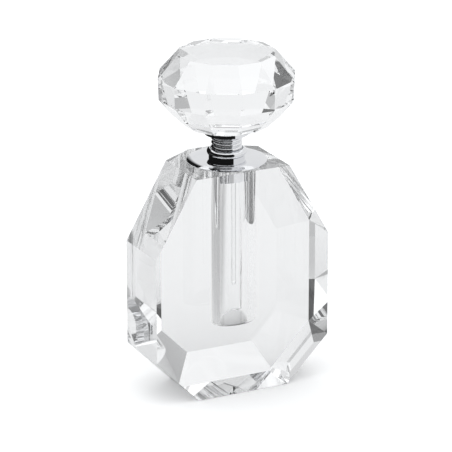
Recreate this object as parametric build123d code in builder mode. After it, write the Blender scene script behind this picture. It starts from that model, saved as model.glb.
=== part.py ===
from build123d import *
import math
import os

os.makedirs("parts", exist_ok=True)

# Cut crystal perfume bottle with a screw-in faceted stopper and a glass dabber rod.
# Millimetres, +Z up, the front face looks along -Y, the neck axis is the Z axis.

# Crystal body: an octagonal block, its sides square to the front, bevelled round the back.
BODY_HEIGHT = 84.0
SHOULDER_Z = 56.1
LOWER_CORNER_Z = 16.8
SIDE_HALF_WIDTH = 34.45
TOP_HALF_WIDTH = 18.5
BASE_HALF_WIDTH = 17.9
FRONT_Y = 13.2
SIDE_DEPTH = 24.95
BEVEL_DEPTH = 7.85
BEVEL_INSET = 11.1
BASE_BEVEL_DEPTH = 8.6
BASE_BEVEL_INSET = 11.0

# Well drilled into the body for the perfume.
WELL_RADIUS = 8.7
WELL_FLOOR_Z = 25.0
WELL_CORNER_RADIUS = 1.0

# Metal collar on top of the body.
FLANGE_RADIUS = 14.45
FLANGE_FOOT_RADIUS = 12.0
FLANGE_FLAT_RADIUS = 9.5
FLANGE_TOP_Z = 86.0
FLANGE_RIM_LOW_Z = 84.9
FLANGE_RIM_TOP_Z = 85.3
RIM_CHAMFER = 0.2
COLLAR_HOLE_RADIUS = 5.9
RING_FOOT_RADIUS = 6.5
RING_OUTER_RADIUS = 7.2
RING_LOW_Z = 87.2
RING_TOP_Z = 89.6

# Threaded sleeve cemented in the mouth of the well.
SLEEVE_RADIUS = WELL_RADIUS - 0.05
SLEEVE_LOW_Z = 79.5
SLEEVE_CREST_RADIUS = 5.2
SLEEVE_ROOT_RADIUS = 5.65
THREAD_PITCH = 1.2
THREAD_TURNS = 3

# Metal screw that carries the stopper.
SCREW_LOW_Z = 79.9
SCREW_THREAD_RADIUS = 4.85
SCREW_CORE_RADIUS = 4.4
SPIGOT_RADIUS = 4.65
SHOULDER_LOW_Z = 85.25
NECK_CORE_RADIUS = 5.0
NECK_RIB_RADIUS = 5.55
NECK_RIB_ZS = (90.1, 91.7, 93.3)
NECK_RIB_HEIGHT = 1.4
NECK_FLARE_RADIUS = 5.5
NECK_FLARE_HEIGHT = 0.9
LIP_RADIUS = 8.0
LIP_LOW_Z = 95.1
LIP_TOP_Z = 96.3

# Sealing washer round the screw.
WASHER_LOW_Z = 84.05
WASHER_TOP_Z = 85.2
WASHER_OUTER_RADIUS = 5.6
WASHER_INNER_RADIUS = 4.75

# Dabber rod and the plug that holds it in the screw.
ROD_RADIUS = 1.5
ROD_TIP_ROUNDING = 1.35
ROD_TIP_Z = 38.0
ROD_TOP_Z = 87.0
PLUG_RADIUS = 3.0
PLUG_TOP_Z = 88.0

# Twelve-sided stopper stone: corner radius and height of each ring of its facets.
STONE_SIDES = 12
STONE_TURN = 16.0
STONE_RINGS = ((8.0, 96.3), (15.1, 98.6), (19.8, 103.0), (24.7, 108.9), (25.0, 116.8), (17.6, 125.2))


def bevel_plane(start, end, inset, depth):
    """Cutting plane of the bevel along the body side that runs from start to end."""
    dx = end[0] - start[0]
    dz = end[1] - start[1]
    length = math.hypot(dx, dz)
    tilt = math.atan2(depth, inset)
    side = Vector(dz / length, 0, -dx / length)
    normal = side * math.sin(tilt) + Vector(0, 1, 0) * math.cos(tilt)
    edge_y = SIDE_DEPTH + BEVEL_DEPTH - depth - FRONT_Y
    return Plane(origin=(start[0], edge_y, start[1]), z_dir=normal)


BODY_OUTLINE = (
    (-BASE_HALF_WIDTH, 0),
    (BASE_HALF_WIDTH, 0),
    (SIDE_HALF_WIDTH, LOWER_CORNER_Z),
    (SIDE_HALF_WIDTH, SHOULDER_Z),
    (TOP_HALF_WIDTH, BODY_HEIGHT),
    (-TOP_HALF_WIDTH, BODY_HEIGHT),
    (-SIDE_HALF_WIDTH, SHOULDER_Z),
    (-SIDE_HALF_WIDTH, LOWER_CORNER_Z),
)
SIDES = list(zip(BODY_OUTLINE, BODY_OUTLINE[1:] + BODY_OUTLINE[:1]))
BASE_SIDE = SIDES[0]
BEVELLED_SIDES = SIDES[1:4] + SIDES[5:]

# The crystal block, its back bevels and the drilled well.
with BuildPart() as crystal_body:
    with BuildSketch(Plane.XZ.offset(FRONT_Y)):
        with BuildLine():
            Polyline(*BODY_OUTLINE, close=True)
        make_face()
    extrude(amount=-(SIDE_DEPTH + BEVEL_DEPTH))
    for start, end in BEVELLED_SIDES:
        split(bisect_by=bevel_plane(start, end, BEVEL_INSET, BEVEL_DEPTH), keep=Keep.BOTTOM)
    split(bisect_by=bevel_plane(*BASE_SIDE, BASE_BEVEL_INSET, BASE_BEVEL_DEPTH), keep=Keep.BOTTOM)
    with BuildSketch(Plane.XZ):
        with BuildLine():
            Line((0, BODY_HEIGHT), (WELL_RADIUS, BODY_HEIGHT))
            Line((WELL_RADIUS, BODY_HEIGHT), (WELL_RADIUS, WELL_FLOOR_Z + WELL_CORNER_RADIUS))
            RadiusArc(
                (WELL_RADIUS, WELL_FLOOR_Z + WELL_CORNER_RADIUS),
                (WELL_RADIUS - WELL_CORNER_RADIUS, WELL_FLOOR_Z),
                WELL_CORNER_RADIUS,
            )
            Line((WELL_RADIUS - WELL_CORNER_RADIUS, WELL_FLOOR_Z), (0, WELL_FLOOR_Z))
            Line((0, WELL_FLOOR_Z), (0, BODY_HEIGHT))
        make_face()
    revolve(axis=Axis.Z, mode=Mode.SUBTRACT)
crystal_body.part.label = "crystal_body"
export_step(crystal_body.part, "parts/crystal_body.step")

# Flange that lies on the crystal and overhangs the front face: flat inside, domed down to its rim.
with BuildPart() as collar_flange:
    with BuildSketch(Plane.XZ):
        with BuildLine():
            Polyline(
                (FLANGE_FLAT_RADIUS, FLANGE_TOP_Z),
                (COLLAR_HOLE_RADIUS, FLANGE_TOP_Z),
                (COLLAR_HOLE_RADIUS, BODY_HEIGHT),
                (FLANGE_FOOT_RADIUS, BODY_HEIGHT),
                (FLANGE_RADIUS - RIM_CHAMFER, FLANGE_RIM_LOW_Z),
                (FLANGE_RADIUS, FLANGE_RIM_LOW_Z + RIM_CHAMFER),
                (FLANGE_RADIUS, FLANGE_RIM_TOP_Z),
            )
            TangentArc((FLANGE_FLAT_RADIUS, FLANGE_TOP_Z), (FLANGE_RADIUS, FLANGE_RIM_TOP_Z), tangent=(1, 0))
        make_face()
    revolve(axis=Axis.Z)
collar_flange.part.label = "collar_flange"
export_step(collar_flange.part, "parts/collar_flange.step")

# Rounded ring that stands on the flange round the mouth.
RING_ROUNDING = (RING_TOP_Z - RING_LOW_Z) / 2
with BuildPart() as collar_ring:
    with BuildSketch(Plane.XZ):
        with BuildLine():
            Polyline(
                (RING_OUTER_RADIUS - RING_ROUNDING, RING_TOP_Z),
                (COLLAR_HOLE_RADIUS, RING_TOP_Z),
                (COLLAR_HOLE_RADIUS, FLANGE_TOP_Z),
                (RING_FOOT_RADIUS, FLANGE_TOP_Z),
                (RING_FOOT_RADIUS, RING_LOW_Z),
                (RING_OUTER_RADIUS - RING_ROUNDING, RING_LOW_Z),
            )
            RadiusArc(
                (RING_OUTER_RADIUS - RING_ROUNDING, RING_LOW_Z),
                (RING_OUTER_RADIUS - RING_ROUNDING, RING_TOP_Z),
                -RING_ROUNDING,
            )
        make_face()
    revolve(axis=Axis.Z)
collar_ring.part.label = "collar_ring"
export_step(collar_ring.part, "parts/collar_ring.step")

# Threaded sleeve in the mouth of the well, its thread turned as plain ring grooves.
THREAD_HALF_HEIGHT = THREAD_PITCH * 0.4
THREAD_OVERLAP = 0.2
FIRST_THREAD_Z = (SLEEVE_LOW_Z + BODY_HEIGHT - THREAD_PITCH * (THREAD_TURNS - 1)) / 2
THREAD_ZS = [FIRST_THREAD_Z + THREAD_PITCH * turn for turn in range(THREAD_TURNS)]
with BuildPart() as collar_sleeve:
    with BuildSketch(Plane.XY.offset(SLEEVE_LOW_Z)):
        Circle(SLEEVE_RADIUS)
        Circle(SLEEVE_CREST_RADIUS, mode=Mode.SUBTRACT)
    extrude(amount=BODY_HEIGHT - SLEEVE_LOW_Z)
    with BuildSketch(Plane.XZ):
        for z in THREAD_ZS:
            with BuildLine():
                Polyline(
                    (SLEEVE_CREST_RADIUS - THREAD_OVERLAP, z - THREAD_HALF_HEIGHT),
                    (SLEEVE_ROOT_RADIUS, z),
                    (SLEEVE_CREST_RADIUS - THREAD_OVERLAP, z + THREAD_HALF_HEIGHT),
                    close=True,
                )
            make_face()
    revolve(axis=Axis.Z, mode=Mode.SUBTRACT)
collar_sleeve.part.label = "collar_sleeve"
export_step(collar_sleeve.part, "parts/collar_sleeve.step")

# Screw that carries the stopper: thread below, spigot for the washer, ribbed neck and lip above.
with BuildPart() as stopper_screw:
    with BuildSketch(Plane.XZ):
        with BuildLine():
            Polyline(
                (PLUG_RADIUS, SCREW_LOW_Z),
                (SCREW_CORE_RADIUS, SCREW_LOW_Z),
                (SCREW_CORE_RADIUS, BODY_HEIGHT),
                (SPIGOT_RADIUS, BODY_HEIGHT),
                (SPIGOT_RADIUS, SHOULDER_LOW_Z),
                (NECK_RIB_RADIUS, SHOULDER_LOW_Z),
                (NECK_RIB_RADIUS, NECK_RIB_ZS[0] - NECK_RIB_HEIGHT / 2),
                (NECK_CORE_RADIUS, NECK_RIB_ZS[0] - NECK_RIB_HEIGHT / 2),
                (NECK_CORE_RADIUS, LIP_LOW_Z - NECK_FLARE_HEIGHT),
                (NECK_FLARE_RADIUS, LIP_LOW_Z - NECK_FLARE_HEIGHT / 3),
                (LIP_RADIUS, LIP_LOW_Z),
                (LIP_RADIUS, LIP_TOP_Z),
                (0, LIP_TOP_Z),
                (0, PLUG_TOP_Z),
                (PLUG_RADIUS, PLUG_TOP_Z),
                close=True,
            )
        make_face()
        for z in THREAD_ZS:
            with BuildLine():
                Polyline(
                    (SCREW_CORE_RADIUS - THREAD_OVERLAP, z - THREAD_HALF_HEIGHT),
                    (SCREW_THREAD_RADIUS, z),
                    (SCREW_CORE_RADIUS - THREAD_OVERLAP, z + THREAD_HALF_HEIGHT),
                    close=True,
                )
            make_face()
    revolve(axis=Axis.Z)
    with BuildSketch(Plane.XZ):
        for z in NECK_RIB_ZS:
            with Locations((NECK_RIB_RADIUS - NECK_RIB_HEIGHT / 2, z)):
                Circle(NECK_RIB_HEIGHT / 2)
    revolve(axis=Axis.Z)
stopper_screw.part.label = "stopper_screw"
export_step(stopper_screw.part, "parts/stopper_screw.step")

# Sealing washer between the shoulder of the screw and the sleeve.
with BuildPart() as seal_washer:
    with BuildSketch(Plane.XY.offset(WASHER_LOW_Z)):
        Circle(WASHER_OUTER_RADIUS)
        Circle(WASHER_INNER_RADIUS, mode=Mode.SUBTRACT)
    extrude(amount=WASHER_TOP_Z - WASHER_LOW_Z)
seal_washer.part.label = "seal_washer"
export_step(seal_washer.part, "parts/seal_washer.step")

# Plug that grips the rod inside the screw.
with BuildPart() as rod_plug:
    with BuildSketch(Plane.XY.offset(SCREW_LOW_Z)):
        Circle(PLUG_RADIUS)
    extrude(amount=PLUG_TOP_Z - SCREW_LOW_Z)
    with BuildSketch(Plane.XY.offset(SCREW_LOW_Z)):
        Circle(ROD_RADIUS)
    extrude(amount=ROD_TOP_Z - SCREW_LOW_Z, mode=Mode.SUBTRACT)
rod_plug.part.label = "rod_plug"
export_step(rod_plug.part, "parts/rod_plug.step")

# Glass dabber rod with a rounded tip.
with BuildPart() as dabber_rod:
    with BuildSketch(Plane.XY.offset(ROD_TIP_Z)):
        Circle(ROD_RADIUS)
    extrude(amount=ROD_TOP_Z - ROD_TIP_Z)
    fillet(dabber_rod.edges().sort_by(Axis.Z)[0], ROD_TIP_ROUNDING)
dabber_rod.part.label = "dabber_rod"
export_step(dabber_rod.part, "parts/dabber_rod.step")

# Faceted stone on top of the screw.
with BuildPart() as crystal_stopper:
    for corner_radius, z in STONE_RINGS:
        with BuildSketch(Plane.XY.offset(z).rotated((0, 0, STONE_TURN))):
            RegularPolygon(corner_radius, STONE_SIDES)
    loft(ruled=True)
crystal_stopper.part.label = "crystal_stopper"
export_step(crystal_stopper.part, "parts/crystal_stopper.step")
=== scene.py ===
import math

import bmesh
import bpy
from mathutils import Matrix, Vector


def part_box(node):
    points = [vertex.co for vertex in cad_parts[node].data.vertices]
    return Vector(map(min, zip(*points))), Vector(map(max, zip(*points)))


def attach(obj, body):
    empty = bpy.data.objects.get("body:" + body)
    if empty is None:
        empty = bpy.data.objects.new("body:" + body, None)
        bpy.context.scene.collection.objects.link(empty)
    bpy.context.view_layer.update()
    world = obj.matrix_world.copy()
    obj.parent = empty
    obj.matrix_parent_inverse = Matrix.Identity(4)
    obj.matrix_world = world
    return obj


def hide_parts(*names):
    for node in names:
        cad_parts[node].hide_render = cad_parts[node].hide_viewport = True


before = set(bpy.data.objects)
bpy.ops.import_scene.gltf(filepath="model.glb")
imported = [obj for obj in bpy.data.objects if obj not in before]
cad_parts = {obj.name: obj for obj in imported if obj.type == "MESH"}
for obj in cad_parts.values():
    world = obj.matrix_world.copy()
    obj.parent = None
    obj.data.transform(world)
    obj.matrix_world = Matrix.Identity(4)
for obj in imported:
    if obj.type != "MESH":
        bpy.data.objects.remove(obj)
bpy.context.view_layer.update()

# Camera: metres and degrees, seen from the object's left and from above.
CAMERA_AZIMUTH = 26.63
CAMERA_ELEVATION = 19.54
CAMERA_DISTANCE = 1.1698
CAMERA_TARGET = Vector((0.0, 0.0, 0.060))
CAMERA_LENS = 258.7
CAMERA_SHIFT = (-0.0017, -0.0013)
CAMERA_CLIP = (0.01, 20.0)

# Mesh work.
TURNED_STEPS = 192
ROUND_STEPS = 24
SHARP_ANGLE = math.radians(10.0)
FLAT_ANGLE = math.radians(0.5)
AXIS_LIMIT = 1e-7
WELD_DISTANCE = 1e-6

# Turned shapes, in metres. Their sizes repeat part.py's.
CEMENT_GAP = 0.00002
BODY_HEIGHT = 0.084
WELL_RADIUS = 0.0087
WELL_FLOOR_Z = 0.025
WELL_CORNER_RADIUS = 0.001
FLANGE_RADIUS = 0.01445
FLANGE_FOOT_RADIUS = 0.012
FLANGE_FLAT_RADIUS = 0.0095
FLANGE_TOP_Z = 0.086
FLANGE_RIM_LOW_Z = 0.0849
FLANGE_RIM_TOP_Z = 0.0853
RIM_CHAMFER = 0.0002
COLLAR_HOLE_RADIUS = 0.0059
RING_FOOT_RADIUS = 0.0065
RING_OUTER_RADIUS = 0.0072
RING_LOW_Z = 0.0872
RING_TOP_Z = 0.0896
SCREW_LOW_Z = 0.0799
SCREW_CORE_RADIUS = 0.0044
SCREW_THREAD_RADIUS = 0.00485
SCREW_THREAD_ZS = (0.08055, 0.08175, 0.08295)
SCREW_THREAD_HALF_HEIGHT = 0.00033
SPIGOT_RADIUS = 0.00465
SHOULDER_LOW_Z = 0.08525
NECK_CORE_RADIUS = 0.005
NECK_RIB_RADIUS = 0.00555
NECK_RIB_ZS = (0.0901, 0.0917, 0.0933)
NECK_RIB_HALF_HEIGHT = 0.0007
NECK_RIB_ARC = 78.0
NECK_FLARE_RADIUS = 0.0055
NECK_FLARE_HEIGHT = 0.0009
LIP_RADIUS = 0.008
LIP_LOW_Z = 0.0951
LIP_TOP_Z = 0.0963
PLUG_RADIUS = 0.003
PLUG_TOP_Z = 0.088
ROD_RADIUS = 0.0015
ROD_TIP_ROUNDING = 0.00135

# Materials. A noise value is the scale of a noise texture on object coordinates, in metres.
CRYSTAL_IOR = 1.52
ROD_IOR = 1.50
NOISE_DETAIL = 4.0
GLASS_TONE_NOISE = 90.0
METAL_TONE_NOISE = 220.0
METAL_ROUGHNESS_NOISE = 400.0
SOLID_TONE_NOISE = 300.0
SOLID_ROUGHNESS_NOISE = 500.0

# Studio.
FLOOR_NEAR = -0.13
FLOOR_FAR = 0.235
FLOOR_DROP = 0.0002
FLOOR_ROUGHNESS = 0.9
FLOOR_SEEN = 1.0
FLOOR_LIT = 0.69
# Painted shade: for all light but the camera's, the floor darkens to this level towards the left, over this
# span of x.
FLOOR_PAINTED_SHADE = 0.42
FLOOR_PAINTED_SHADE_X = (-0.10, -0.02)
BACKDROP_STRENGTH = 1.2
SOFT_LIGHT_STRENGTH = 1.4
SURROUND_TINT = (0.98, 0.99, 1.0)
# The surround is plain to the camera and for soft light. What is reflected and what is seen through glass
# get different levels of it: one level all round, then patches, set from the camera's angle. A patch
# is (middle and half width of azimuth), (the same of elevation), soft edge and level. Degrees, azimuth from
# +Y to +X.
SURROUND_LEVEL = 0.85
REFLECTION_PATCHES = (
    ((-90, 106), (26, 50), 4, 0.01),
    ((0, 180), (85, 12), 8, 1.1),
)
GLASS_PATCHES = (
    ((26, 70), (20, 30), 15, 0.93),
    ((26, 70), (-30, 25), 8, 1.02),
    ((-90, 60), (5, 33), 10, 0.5),
    ((-170, 30), (22, 16), 10, 0.6),
    ((-93, 30), (7, 7), 5, 0.06),
    ((-75, 45), (30, 16), 6, 0.12),
    ((139, 14), (24, 9), 6, 0.3),
    ((0, 180), (85, 25), 15, 1.2),
)
LIGHT_BOUNCES = 24


def new_material(name):
    """A new material, its node tree and its Principled shader."""
    material = bpy.data.materials.new(name)
    material.use_nodes = True
    tree = material.node_tree
    return material, tree, tree.nodes["Principled BSDF"]


def noise_between(tree, scale, low, high):
    """A number that wanders between low and high over the surface."""
    place = tree.nodes.new("ShaderNodeTexCoord")
    noise = tree.nodes.new("ShaderNodeTexNoise")
    noise.inputs["Scale"].default_value = scale
    noise.inputs["Detail"].default_value = NOISE_DETAIL
    span = tree.nodes.new("ShaderNodeMapRange")
    span.inputs["To Min"].default_value = low
    span.inputs["To Max"].default_value = high
    tree.links.new(place.outputs["Object"], noise.inputs["Vector"])
    tree.links.new(noise.outputs["Fac"], span.inputs["Value"])
    return span.outputs["Result"]


def two_tone(tree, scale, dark, light):
    """A colour that wanders between two tones over the surface."""
    blend = tree.nodes.new("ShaderNodeMix")
    blend.data_type = "RGBA"
    blend.inputs["A"].default_value = (*dark, 1.0)
    blend.inputs["B"].default_value = (*light, 1.0)
    tree.links.new(noise_between(tree, scale, 0.0, 1.0), blend.inputs["Factor"])
    return blend.outputs["Result"]


def glass(name, ior, dark, light):
    """Clear polished glass."""
    material, tree, shader = new_material(name)
    shader.inputs["Transmission Weight"].default_value = 1.0
    shader.inputs["IOR"].default_value = ior
    tree.links.new(two_tone(tree, GLASS_TONE_NOISE, dark, light), shader.inputs["Base Color"])
    shader.inputs["Roughness"].default_value = 0.0
    return material


def metal(name, dark, light, smooth, rough):
    """Polished plated metal."""
    material, tree, shader = new_material(name)
    shader.inputs["Metallic"].default_value = 1.0
    tree.links.new(two_tone(tree, METAL_TONE_NOISE, dark, light), shader.inputs["Base Color"])
    roughness = noise_between(tree, METAL_ROUGHNESS_NOISE, smooth, rough)
    tree.links.new(roughness, shader.inputs["Roughness"])
    return material


def solid(name, dark, light, smooth, rough):
    """Rubber or plastic."""
    material, tree, shader = new_material(name)
    tree.links.new(two_tone(tree, SOLID_TONE_NOISE, dark, light), shader.inputs["Base Color"])
    roughness = noise_between(tree, SOLID_ROUGHNESS_NOISE, smooth, rough)
    tree.links.new(roughness, shader.inputs["Roughness"])
    return material


def paint(material, *nodes):
    """Gives the material to these CAD nodes."""
    for node in nodes:
        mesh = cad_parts[node].data
        mesh.materials.clear()
        mesh.materials.append(material)


def arc(centre, radius, start, end):
    """Profile points along an arc round a (radius, z) centre, from one angle to another in degrees."""
    steps = range(ROUND_STEPS + 1)
    angles = [math.radians(start + (end - start) * step / ROUND_STEPS) for step in steps]
    return [(centre[0] + radius * math.cos(a), centre[1] + radius * math.sin(a)) for a in angles]


def turned(name, profile, closed=True):
    """A mesh turned round the Z axis from (radius, z) points; points on the axis become poles."""
    work = bmesh.new()
    rings = []
    for radius, z in profile:
        if radius < AXIS_LIMIT:
            rings.append([work.verts.new((0.0, 0.0, z))] * TURNED_STEPS)
            continue
        angles = [math.tau * step / TURNED_STEPS for step in range(TURNED_STEPS)]
        rings.append([work.verts.new((radius * math.cos(a), radius * math.sin(a), z)) for a in angles])
    pairs = list(zip(rings, rings[1:]))
    if closed:
        pairs.append((rings[-1], rings[0]))
    for low, high in pairs:
        for step in range(TURNED_STEPS):
            after = (step + 1) % TURNED_STEPS
            corners = list(dict.fromkeys((low[step], low[after], high[after], high[step])))
            if len(corners) > 2:
                work.faces.new(corners)
    bmesh.ops.recalc_face_normals(work, faces=work.faces)
    return to_mesh(name, work)


def smooth_but_for_edges(mesh):
    """Smooth shading, broken at every edge that turns by more than SHARP_ANGLE."""
    for polygon in mesh.polygons:
        polygon.use_smooth = True
    mesh.set_sharp_from_angle(angle=SHARP_ANGLE)


def to_mesh(name, work):
    """Writes the bmesh to a new mesh, smooth but for its sharp edges."""
    mesh = bpy.data.meshes.new(name)
    work.to_mesh(mesh)
    work.free()
    smooth_but_for_edges(mesh)
    return mesh


def hull_of(node, name):
    """The flat-faced convex hull of a CAD node, which leaves out any bore."""
    work = bmesh.new()
    work.from_mesh(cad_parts[node].data)
    hull = bmesh.ops.convex_hull(work, input=work.verts)
    spare = hull["geom_interior"] + hull["geom_unused"]
    inner = {item for item in spare if isinstance(item, bmesh.types.BMVert)}
    bmesh.ops.delete(work, geom=list(inner), context="VERTS")
    bmesh.ops.remove_doubles(work, verts=work.verts, dist=WELD_DISTANCE)
    bmesh.ops.dissolve_limit(work, angle_limit=FLAT_ANGLE, verts=work.verts, edges=work.edges)
    bmesh.ops.recalc_face_normals(work, faces=work.faces)
    mesh = to_mesh(name, work)
    for polygon in mesh.polygons:
        polygon.use_smooth = False
    return mesh


def stand_for(node, body, mesh, material):
    """A piece with its own mesh in the place of a CAD node."""
    mesh.materials.clear()
    mesh.materials.append(material)
    piece = bpy.data.objects.new(mesh.name, mesh)
    bpy.context.scene.collection.objects.link(piece)
    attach(piece, body)
    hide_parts(node)


def drilled(block, drill):
    """Cuts the drill mesh out of the block mesh."""
    block_object = bpy.data.objects.new("block", block)
    drill_object = bpy.data.objects.new("drill", drill)
    for item in (block_object, drill_object):
        bpy.context.scene.collection.objects.link(item)
    cut = block_object.modifiers.new("cut", "BOOLEAN")
    cut.operation = "DIFFERENCE"
    cut.solver = "EXACT"
    cut.object = drill_object
    graph = bpy.context.evaluated_depsgraph_get()
    mesh = bpy.data.meshes.new_from_object(block_object.evaluated_get(graph))
    for item in (block_object, drill_object):
        bpy.data.objects.remove(item)
    smooth_but_for_edges(mesh)
    return mesh


def well_mesh():
    """The drill that makes the well, a little taller than the body."""
    corner = (WELL_RADIUS - WELL_CORNER_RADIUS, WELL_FLOOR_Z + WELL_CORNER_RADIUS)
    top = BODY_HEIGHT + WELL_CORNER_RADIUS
    rounding = arc(corner, WELL_CORNER_RADIUS, -90.0, 0.0)
    profile = [(0.0, WELL_FLOOR_Z), *rounding, (WELL_RADIUS, top), (0.0, top)]
    return turned("well", profile, closed=False)


def flange_mesh():
    """The flange: flat inside, domed down to its rim."""
    reach = FLANGE_RADIUS - FLANGE_FLAT_RADIUS
    drop = FLANGE_TOP_Z - FLANGE_RIM_TOP_Z
    dome = (reach ** 2 + drop ** 2) / (2 * drop)
    slope = math.degrees(math.asin(reach / dome))
    return turned("flange_shell", [
        (COLLAR_HOLE_RADIUS, BODY_HEIGHT + CEMENT_GAP),
        (FLANGE_FOOT_RADIUS, BODY_HEIGHT + CEMENT_GAP),
        (FLANGE_RADIUS - RIM_CHAMFER, FLANGE_RIM_LOW_Z),
        (FLANGE_RADIUS, FLANGE_RIM_LOW_Z + RIM_CHAMFER),
        *arc((FLANGE_FLAT_RADIUS, FLANGE_TOP_Z - dome), dome, 90.0 - slope, 90.0),
        (COLLAR_HOLE_RADIUS, FLANGE_TOP_Z),
    ])


def ring_mesh():
    """The rounded ring round the mouth."""
    rounding = (RING_TOP_Z - RING_LOW_Z) / 2
    edge = (RING_OUTER_RADIUS - rounding, RING_LOW_Z + rounding)
    return turned("ring_shell", [
        (COLLAR_HOLE_RADIUS, FLANGE_TOP_Z),
        (RING_FOOT_RADIUS, FLANGE_TOP_Z),
        (RING_FOOT_RADIUS, RING_LOW_Z),
        *arc(edge, rounding, -90.0, 90.0),
        (COLLAR_HOLE_RADIUS, RING_TOP_Z),
    ])


def screw_mesh():
    """The screw: thread, spigot, shoulder, ribbed neck and lip, with a blind bore for the plug."""
    profile = [(PLUG_RADIUS, PLUG_TOP_Z), (PLUG_RADIUS, SCREW_LOW_Z), (SCREW_CORE_RADIUS, SCREW_LOW_Z)]
    for z in SCREW_THREAD_ZS:
        profile += [
            (SCREW_CORE_RADIUS, z - SCREW_THREAD_HALF_HEIGHT),
            (SCREW_THREAD_RADIUS, z),
            (SCREW_CORE_RADIUS, z + SCREW_THREAD_HALF_HEIGHT),
        ]
    profile += [
        (SCREW_CORE_RADIUS, BODY_HEIGHT),
        (SPIGOT_RADIUS, BODY_HEIGHT),
        (SPIGOT_RADIUS, SHOULDER_LOW_Z),
        (NECK_RIB_RADIUS, SHOULDER_LOW_Z),
        (NECK_RIB_RADIUS, NECK_RIB_ZS[0] - NECK_RIB_HALF_HEIGHT),
    ]
    for z in NECK_RIB_ZS:
        middle = (NECK_RIB_RADIUS - NECK_RIB_HALF_HEIGHT, z)
        profile += arc(middle, NECK_RIB_HALF_HEIGHT, -NECK_RIB_ARC, NECK_RIB_ARC)
    profile += [
        (NECK_CORE_RADIUS, LIP_LOW_Z - NECK_FLARE_HEIGHT),
        (NECK_FLARE_RADIUS, LIP_LOW_Z - NECK_FLARE_HEIGHT / 3),
        (LIP_RADIUS, LIP_LOW_Z),
        (LIP_RADIUS, LIP_TOP_Z - CEMENT_GAP),
        (0.0, LIP_TOP_Z - CEMENT_GAP),
        (0.0, PLUG_TOP_Z),
    ]
    return turned("neck_shell", profile)


def rod_mesh():
    """The rod with its rounded tip."""
    low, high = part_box("dabber_rod")
    corner = (ROD_RADIUS - ROD_TIP_ROUNDING, low[2] + ROD_TIP_ROUNDING)
    tip = arc(corner, ROD_TIP_ROUNDING, -90.0, 0.0)
    profile = [(0.0, low[2]), *tip, (ROD_RADIUS, high[2]), (0.0, high[2])]
    return turned("rod_shell", profile, closed=False)


crystal = glass("cut_crystal", CRYSTAL_IOR, (0.996, 0.998, 1.0), (1.0, 1.0, 1.0))
stone_crystal = glass("cut_stone", CRYSTAL_IOR, (0.996, 0.997, 1.0), (1.0, 1.0, 1.0))
rod_glass = glass("drawn_rod", ROD_IOR, (0.96, 0.97, 0.97), (1.0, 1.0, 1.0))
chrome = metal("polished_chrome", (0.80, 0.81, 0.83), (0.90, 0.90, 0.91), 0.01, 0.03)
rubber = solid("black_rubber", (0.02, 0.02, 0.02), (0.04, 0.04, 0.04), 0.5, 0.7)
plastic = solid("white_plastic", (0.82, 0.82, 0.80), (0.90, 0.90, 0.88), 0.3, 0.5)

body_block = drilled(hull_of("crystal_body", "body_block"), well_mesh())
body_block.name = "cut_body"
stand_for("crystal_body", "bottle", body_block, crystal)
stone_block = hull_of("crystal_stopper", "cut_stone")
stand_for("crystal_stopper", "stopper", stone_block, stone_crystal)
stand_for("dabber_rod", "stopper", rod_mesh(), rod_glass)
stand_for("collar_flange", "bottle", flange_mesh(), chrome)
stand_for("collar_ring", "bottle", ring_mesh(), chrome)
stand_for("stopper_screw", "stopper", screw_mesh(), chrome)
paint(chrome, "collar_sleeve")
paint(rubber, "seal_washer")
paint(plastic, "rod_plug")


def floor_tone_and_painted_shade(tree):
    """White where the camera looks straight at it, and for all other light greyer, with painted shade that
    makes it greyer still to the left.
    """
    path = tree.nodes.new("ShaderNodeLightPath")
    place = tree.nodes.new("ShaderNodeTexCoord")
    split = tree.nodes.new("ShaderNodeSeparateXYZ")
    tree.links.new(place.outputs["Object"], split.inputs["Vector"])
    # Painted shade: the floor darkens towards the left for all but camera rays.
    across = tree.nodes.new("ShaderNodeMapRange")
    across.inputs["From Min"].default_value, across.inputs["From Max"].default_value = FLOOR_PAINTED_SHADE_X
    across.inputs["To Min"].default_value = FLOOR_PAINTED_SHADE
    across.inputs["To Max"].default_value = FLOOR_LIT
    tree.links.new(split.outputs["X"], across.inputs["Value"])
    pick = tree.nodes.new("ShaderNodeMapRange")
    pick.inputs["To Max"].default_value = FLOOR_SEEN
    tree.links.new(path.outputs["Is Camera Ray"], pick.inputs["Value"])
    tree.links.new(across.outputs["Result"], pick.inputs["To Min"])
    return pick.outputs["Result"]


def add_floor():
    """A plain pale floor just under the base, with painted shade to its left for all but camera rays."""
    mesh = bpy.data.meshes.new("floor")
    near, far = FLOOR_NEAR, FLOOR_FAR
    corners = [(near, near, 0), (far, near, 0), (far, far, 0), (near, far, 0)]
    mesh.from_pydata(corners, [], [(0, 1, 2, 3)])
    floor = bpy.data.objects.new("floor", mesh)
    floor.location.z = -FLOOR_DROP
    bpy.context.scene.collection.objects.link(floor)
    material, tree, shader = new_material("floor_paper")
    shader.inputs["Roughness"].default_value = FLOOR_ROUGHNESS
    shader.inputs["Specular IOR Level"].default_value = 0.0
    tone = tree.nodes.new("ShaderNodeCombineColor")
    level = floor_tone_and_painted_shade(tree)
    for channel in ("Red", "Green", "Blue"):
        tree.links.new(level, tone.inputs[channel])
    tree.links.new(tone.outputs["Color"], shader.inputs["Base Color"])
    mesh.materials.append(material)


def combine(tree, operation, first, second=None, third=None):
    """A maths node. Each value is a socket or a number."""
    node = tree.nodes.new("ShaderNodeMath")
    node.operation = operation
    for socket, value in zip(node.inputs, (first, second, third)):
        if isinstance(value, bpy.types.NodeSocket):
            tree.links.new(value, socket)
        elif value is not None:
            socket.default_value = value
    return node.outputs["Value"]


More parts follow.
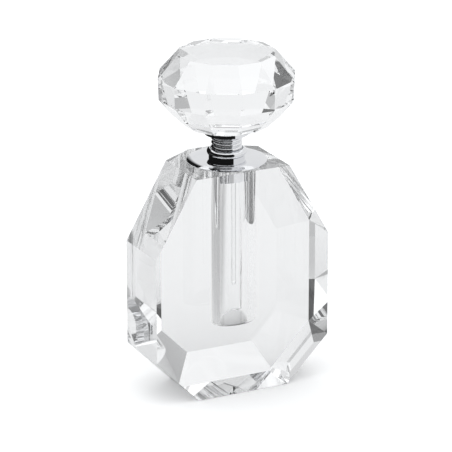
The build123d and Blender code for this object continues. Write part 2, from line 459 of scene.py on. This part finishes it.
def band(tree, angle, middle, half, soft):
    """1 where an angle in degrees lies within half of middle, falling to 0 over the next soft degrees."""
    away = combine(tree, "SUBTRACT", angle, middle)
    away = combine(tree, "WRAP", away, 180.0, -180.0)
    away = combine(tree, "ABSOLUTE", away)
    ramp = tree.nodes.new("ShaderNodeMapRange")
    ramp.interpolation_type = "SMOOTHSTEP"
    ramp.inputs["From Min"].default_value = half + soft
    ramp.inputs["From Max"].default_value = half
    tree.links.new(away, ramp.inputs["Value"])
    return ramp.outputs["Result"]


def patched(tree, azimuth, elevation, patches):
    """The level of the surround in the direction of these angles."""
    level = SURROUND_LEVEL
    for across, up, soft, target in patches:
        inside_across = band(tree, azimuth, *across, soft)
        inside_up = band(tree, elevation, *up, soft)
        share = combine(tree, "MULTIPLY", inside_across, inside_up)
        change = combine(tree, "SUBTRACT", target, level)
        level = combine(tree, "MULTIPLY_ADD", share, change, level)
    return level


def add_surround():
    """The world, with its own levels for reflections, through glass, for the camera and for soft light."""
    world = bpy.data.worlds.new("studio")
    bpy.context.scene.world = world
    world.use_nodes = True
    tree = world.node_tree
    place = tree.nodes.new("ShaderNodeTexCoord")
    split = tree.nodes.new("ShaderNodeSeparateXYZ")
    tree.links.new(place.outputs["Generated"], split.inputs["Vector"])
    azimuth = combine(tree, "ARCTAN2", split.outputs["X"], split.outputs["Y"])
    azimuth = combine(tree, "MULTIPLY", azimuth, math.degrees(1.0))
    elevation = combine(tree, "ARCSINE", split.outputs["Z"])
    elevation = combine(tree, "MULTIPLY", elevation, math.degrees(1.0))
    level = patched(tree, azimuth, elevation, REFLECTION_PATCHES)
    path = tree.nodes.new("ShaderNodeLightPath")
    for kind, strength in (
        ("Is Transmission Ray", patched(tree, azimuth, elevation, GLASS_PATCHES)),
        ("Is Camera Ray", BACKDROP_STRENGTH),
        ("Is Diffuse Ray", SOFT_LIGHT_STRENGTH),
    ):
        change = combine(tree, "SUBTRACT", strength, level)
        level = combine(tree, "MULTIPLY_ADD", path.outputs[kind], change, level)
    background = tree.nodes["Background"]
    background.inputs["Color"].default_value = (*SURROUND_TINT, 1.0)
    tree.links.new(level, background.inputs["Strength"])


def add_camera():
    """The camera at the viewing angle."""
    azimuth = math.radians(CAMERA_AZIMUTH)
    elevation = math.radians(CAMERA_ELEVATION)
    back = Vector((
        -math.sin(azimuth) * math.cos(elevation),
        -math.cos(azimuth) * math.cos(elevation),
        math.sin(elevation),
    ))
    data = bpy.data.cameras.new("camera")
    data.lens = CAMERA_LENS
    data.shift_x, data.shift_y = CAMERA_SHIFT
    data.clip_start, data.clip_end = CAMERA_CLIP
    camera = bpy.data.objects.new("camera", data)
    camera.location = CAMERA_TARGET + back * CAMERA_DISTANCE
    camera.rotation_euler = (-back).to_track_quat("-Z", "Y").to_euler()
    bpy.context.scene.collection.objects.link(camera)
    bpy.context.scene.camera = camera


add_floor()
add_surround()
add_camera()

scene = bpy.context.scene
scene.view_settings.view_transform = "Standard"
scene.cycles.max_bounces = LIGHT_BOUNCES
scene.cycles.transmission_bounces = LIGHT_BOUNCES
scene.cycles.glossy_bounces = LIGHT_BOUNCES
